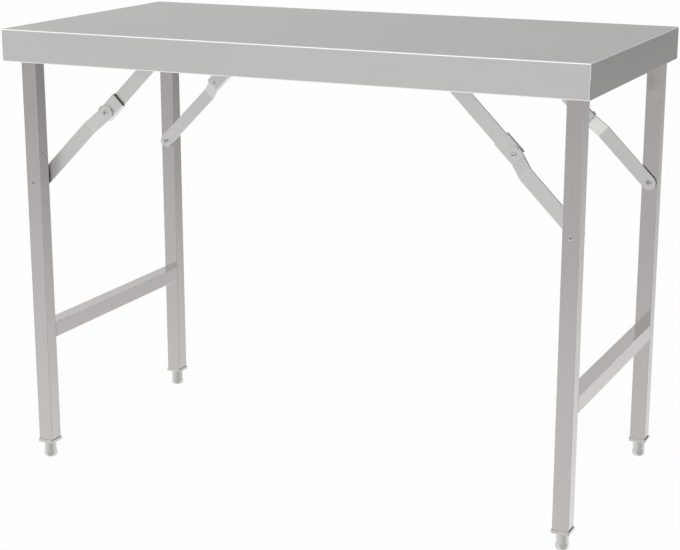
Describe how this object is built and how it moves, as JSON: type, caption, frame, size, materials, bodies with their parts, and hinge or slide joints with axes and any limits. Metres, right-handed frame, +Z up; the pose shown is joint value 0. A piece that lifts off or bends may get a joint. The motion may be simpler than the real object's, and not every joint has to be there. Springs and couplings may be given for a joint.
{
  "type": "folding work table",
  "caption": "Folding stainless work table: a tray-shaped sheet top on tube leg frames with crossbars, knee stays and screw feet; the frames fold up into the tray.",
  "frame": {"origin": "on the floor under the middle of the top, with the screw feet fully in", "axes": "+X along the table to the right, +Y across it to the back, +Z up"},
  "size_m": [1.2, 0.6, 0.9],
  "materials": {
    "worktop_sheet": "satin stainless sheet with a fine lengthwise grain",
    "pressed_sheet": "mill-finish stainless sheet",
    "frame_tube": "polished stainless tube",
    "stay_bar": "satin stainless bar",
    "turned_foot": "turned stainless",
    "fastener": "bright stainless"
  },
  "bodies": {
    "table_top": {"hinge_bolts": "fastener", "hinge_bracket_left_back": "pressed_sheet", "hinge_bracket_left_front": "pressed_sheet", "hinge_bracket_right_back": "pressed_sheet", "hinge_bracket_right_front": "pressed_sheet", "hinge_nuts": "fastener", "stay_bracket_left_back": "pressed_sheet", "stay_bracket_left_front": "pressed_sheet", "stay_bracket_pins": "fastener", "stay_bracket_right_back": "pressed_sheet", "stay_bracket_right_front": "pressed_sheet", "stiffener_back_left": "pressed_sheet", "stiffener_back_right": "pressed_sheet", "stiffener_front_left": "pressed_sheet", "stiffener_front_right": "pressed_sheet", "worktop_pan": "worktop_sheet"},
    "left_frame": {"left_front_leg": "frame_tube", "left_back_leg": "frame_tube", "left_crossbar": "frame_tube", "left_hinge_bushes": "fastener", "left_stay_pivots": "fastener", "left_stay_washers": "fastener", "left_front_foot_socket": "turned_foot", "left_back_foot_socket": "turned_foot"},
    "left_front_upper_link": {"left_front_upper_stay": "stay_bar", "left_front_knee_channel": "stay_bar", "left_front_knee_rivet": "fastener"},
    "left_front_lower_link": {"left_front_lower_stay": "stay_bar", "left_front_stay_pivot_head": "fastener"},
    "left_front_screw_foot": {"left_front_foot": "turned_foot"},
    "left_back_upper_link": {"left_back_upper_stay": "stay_bar", "left_back_knee_channel": "stay_bar", "left_back_knee_rivet": "fastener"},
    "left_back_lower_link": {"left_back_lower_stay": "stay_bar", "left_back_stay_pivot_head": "fastener"},
    "left_back_screw_foot": {"left_back_foot": "turned_foot"},
    "right_frame": {"right_front_leg": "frame_tube", "right_back_leg": "frame_tube", "right_crossbar": "frame_tube", "right_hinge_bushes": "fastener", "right_stay_pivots": "fastener", "right_stay_washers": "fastener", "right_front_foot_socket": "turned_foot", "right_back_foot_socket": "turned_foot"},
    "right_front_upper_link": {"right_front_upper_stay": "stay_bar", "right_front_knee_channel": "stay_bar", "right_front_knee_rivet": "fastener"},
    "right_front_lower_link": {"right_front_lower_stay": "stay_bar", "right_front_stay_pivot_head": "fastener"},
    "right_front_screw_foot": {"right_front_foot": "turned_foot"},
    "right_back_upper_link": {"right_back_upper_stay": "stay_bar", "right_back_knee_channel": "stay_bar", "right_back_knee_rivet": "fastener"},
    "right_back_lower_link": {"right_back_lower_stay": "stay_bar", "right_back_stay_pivot_head": "fastener"},
    "right_back_screw_foot": {"right_back_foot": "turned_foot"}
  },
  "joints": [
    {"name": "left_fold", "type": "hinge", "parent": "table_top", "child": "left_frame", "pos_m": [-0.5545, 0, 0.8805], "axis": [0, -1, 0], "range_deg": [0, 90]},
    {"name": "left_front_stay_swing", "type": "hinge", "parent": "table_top", "child": "left_front_upper_link", "pos_m": [-0.265, -0.22, 0.8805], "axis": [0, 1, 0], "range_deg": [0, 45]},
    {"name": "left_front_knee", "type": "hinge", "parent": "left_front_upper_link", "child": "left_front_lower_link", "pos_m": [-0.40975, -0.22, 0.73575], "axis": [0, -1, 0], "range_deg": [0, 180]},
    {"name": "left_front_foot_travel", "type": "slide", "parent": "left_frame", "child": "left_front_screw_foot", "axis": [0, 0, -1], "range_m": [0, 0.02]},
    {"name": "left_back_stay_swing", "type": "hinge", "parent": "table_top", "child": "left_back_upper_link", "pos_m": [-0.265, 0.22, 0.8805], "axis": [0, 1, 0], "range_deg": [0, 45]},
    {"name": "left_back_knee", "type": "hinge", "parent": "left_back_upper_link", "child": "left_back_lower_link", "pos_m": [-0.40975, 0.22, 0.73575], "axis": [0, -1, 0], "range_deg": [0, 180]},
    {"name": "left_back_foot_travel", "type": "slide", "parent": "left_frame", "child": "left_back_screw_foot", "axis": [0, 0, -1], "range_m": [0, 0.02]},
    {"name": "right_fold", "type": "hinge", "parent": "table_top", "child": "right_frame", "pos_m": [0.569, 0, 0.846], "axis": [0, 1, 0], "range_deg": [0, 90]},
    {"name": "right_front_stay_swing", "type": "hinge", "parent": "table_top", "child": "right_front_upper_link", "pos_m": [0.314, -0.22, 0.846], "axis": [0, -1, 0], "range_deg": [0, 45]},
    {"name": "right_front_knee", "type": "hinge", "parent": "right_front_upper_link", "child": "right_front_lower_link", "pos_m": [0.4415, -0.22, 0.7185], "axis": [0, 1, 0], "range_deg": [0, 180]},
    {"name": "right_front_foot_travel", "type": "slide", "parent": "right_frame", "child": "right_front_screw_foot", "axis": [0, 0, -1], "range_m": [0, 0.02]},
    {"name": "right_back_stay_swing", "type": "hinge", "parent": "table_top", "child": "right_back_upper_link", "pos_m": [0.314, 0.22, 0.846], "axis": [0, -1, 0], "range_deg": [0, 45]},
    {"name": "right_back_knee", "type": "hinge", "parent": "right_back_upper_link", "child": "right_back_lower_link", "pos_m": [0.4415, 0.22, 0.7185], "axis": [0, 1, 0], "range_deg": [0, 180]},
    {"name": "right_back_foot_travel", "type": "slide", "parent": "right_frame", "child": "right_back_screw_foot", "axis": [0, 0, -1], "range_m": [0, 0.02]}
  ],
  "couplings": [
    {"joint": "left_front_stay_swing", "follows": "left_fold", "ratio": 0.5},
    {"joint": "left_front_knee", "follows": "left_fold", "ratio": 2},
    {"joint": "left_back_stay_swing", "follows": "left_fold", "ratio": 0.5},
    {"joint": "left_back_knee", "follows": "left_fold", "ratio": 2},
    {"joint": "right_front_stay_swing", "follows": "right_fold", "ratio": 0.5},
    {"joint": "right_front_knee", "follows": "right_fold", "ratio": 2},
    {"joint": "right_back_stay_swing", "follows": "right_fold", "ratio": 0.5},
    {"joint": "right_back_knee", "follows": "right_fold", "ratio": 2}
  ]
}
